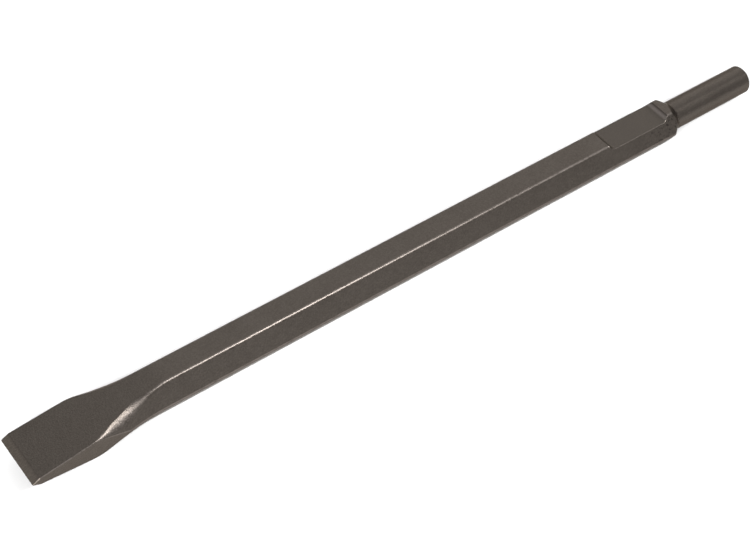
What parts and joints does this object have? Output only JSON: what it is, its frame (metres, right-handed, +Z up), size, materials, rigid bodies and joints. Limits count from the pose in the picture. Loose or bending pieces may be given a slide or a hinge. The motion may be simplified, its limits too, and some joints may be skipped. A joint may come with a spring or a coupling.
{
  "type": "flat chisel for a breaking hammer",
  "caption": "Flat cold chisel bit forged from hexagonal bar, with a flared ground blade, a retaining notch, a chamfered collar and a round spigot.",
  "frame": {"origin": "under the middle of the length and width, on the flat of the hexagon that the chisel lies on", "axes": "+X along the bar from the cutting edge to the struck end, +Z up through the flat that carries the notch, +Y along the cutting edge"},
  "size_m": [0.45, 0.03, 0.022],
  "materials": {
    "blackened_steel": "blackened, fine blasted grain"
  },
  "bodies": {
    "root": {"chisel": "blackened_steel"}
  },
  "joints": []
}
